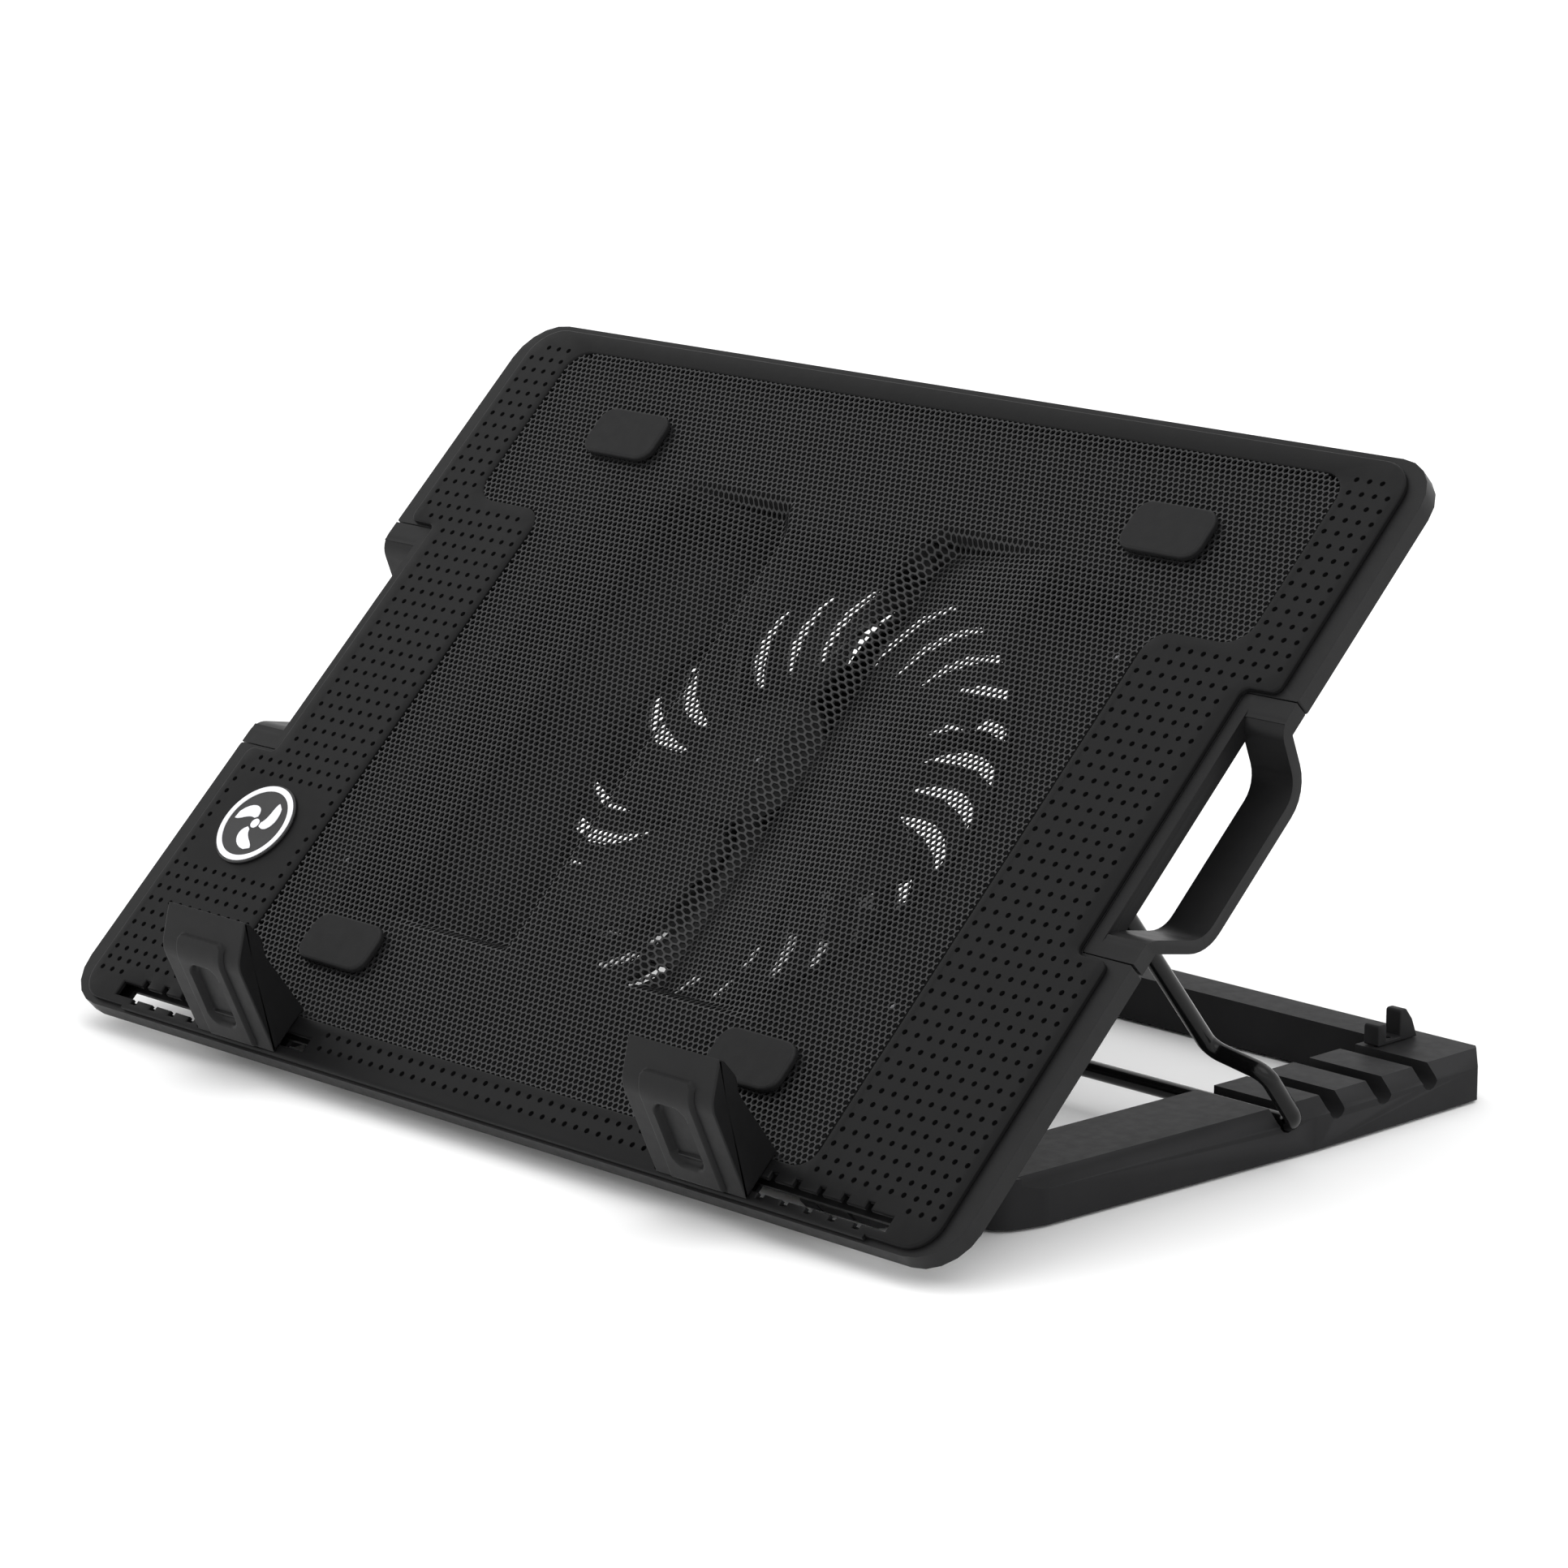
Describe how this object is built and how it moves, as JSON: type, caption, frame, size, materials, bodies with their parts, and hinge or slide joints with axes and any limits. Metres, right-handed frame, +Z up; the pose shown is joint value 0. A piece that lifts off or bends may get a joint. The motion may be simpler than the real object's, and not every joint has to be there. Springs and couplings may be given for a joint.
{
  "type": "laptop cooling pad",
  "caption": "Folding laptop cooling pad: perforated deck with a fan beneath, side handles, sliding stoppers and a wire bail resting in a slotted base frame.",
  "frame": {"origin": "on the floor plane under the middle of the object's bounding box", "axes": "+X to the user's right, +Y away from the user, +Z up"},
  "size_m": [0.398, 0.2755, 0.2075],
  "materials": {
    "casing_plastic": "fine moulded grain, satin black",
    "cover_plastic": "dimpled, satin black",
    "base_plastic": "fine moulded grain, satin black",
    "mesh_steel": "black powder coat",
    "wire_steel": "gloss black enamel",
    "bright_steel": "zinc plated",
    "rubber": "matt black",
    "fan_plastic": "semi-gloss black",
    "circuit_board": "dark solder mask",
    "copper_wire": "copper and bronze",
    "badge_print": "pale print"
  },
  "bodies": {
    "base": {"base_frame": "base_plastic", "rubber_foot_front_right": "rubber", "rubber_foot_front_left": "rubber", "rubber_foot_rear_right": "rubber", "rubber_foot_rear_left": "rubber", "bar_clip_right": "base_plastic", "bar_clip_left": "base_plastic", "hinge_pin_right": "bright_steel", "hinge_pin_left": "bright_steel"},
    "deck": {"lower_shell": "casing_plastic", "top_cover": "cover_plastic", "mesh_panel": "mesh_steel", "rubber_pad_rear_right": "rubber", "rubber_pad_rear_left": "rubber", "rubber_pad_front_right": "rubber", "rubber_pad_front_left": "rubber", "badge": "badge_print", "handle_right": "casing_plastic", "handle_left": "casing_plastic", "bail_bracket_right": "casing_plastic", "bail_bracket_left": "casing_plastic", "bracket_screw_front_right": "bright_steel", "bracket_screw_front_left": "bright_steel", "bracket_screw_rear_right": "bright_steel", "bracket_screw_rear_left": "bright_steel", "hinge_bracket_right": "casing_plastic", "hinge_bracket_left": "casing_plastic", "fan_housing": "casing_plastic", "fan_ring": "casing_plastic", "vent_grille": "casing_plastic", "motor_board": "circuit_board", "sleeve_bearing": "copper_wire", "motor_stator": "copper_wire", "control_box": "casing_plastic", "control_board": "circuit_board", "power_inlet": "bright_steel", "fan_lead": "fan_plastic", "housing_screw_front_right": "bright_steel", "housing_screw_front_left": "bright_steel", "housing_screw_rear_right": "bright_steel", "housing_screw_rear_left": "bright_steel"},
    "bail": {"bail": "wire_steel"},
    "rotor": {"fan_rotor": "fan_plastic", "rotor_magnet": "bright_steel", "rotor_shaft": "bright_steel"},
    "dial": {"speed_dial": "fan_plastic"},
    "right_stopper": {"stopper_right": "casing_plastic"},
    "left_stopper": {"stopper_left": "casing_plastic"}
  },
  "joints": [
    {"name": "deck_tilt", "type": "hinge", "parent": "base", "child": "deck", "pos_m": [0, -0.09425, 0.0083], "axis": [1, 0, 0], "range_deg": [0, 9]},
    {"name": "bail_swing", "type": "hinge", "parent": "deck", "child": "bail", "pos_m": [0, -0.02217, 0.09349], "axis": [1, 0, 0], "range_deg": [0, 94.5]},
    {"name": "fan_spin", "type": "hinge", "parent": "deck", "child": "rotor", "pos_m": [0.009, -0.00661, 0.09888], "axis": [0, -0.6884, 0.7254], "continuous": true},
    {"name": "dial_turn", "type": "hinge", "parent": "deck", "child": "dial", "pos_m": [-0.109, 0.08567, 0.19224], "axis": [0, -0.6884, 0.7254], "range_deg": [-135, 135]},
    {"name": "right_stopper_slide", "type": "slide", "parent": "deck", "child": "right_stopper", "axis": [1, 0, 0], "range_m": [-0.012, 0.0615]},
    {"name": "left_stopper_slide", "type": "slide", "parent": "deck", "child": "left_stopper", "axis": [-1, 0, 0], "range_m": [-0.019, 0.0545]}
  ]
}
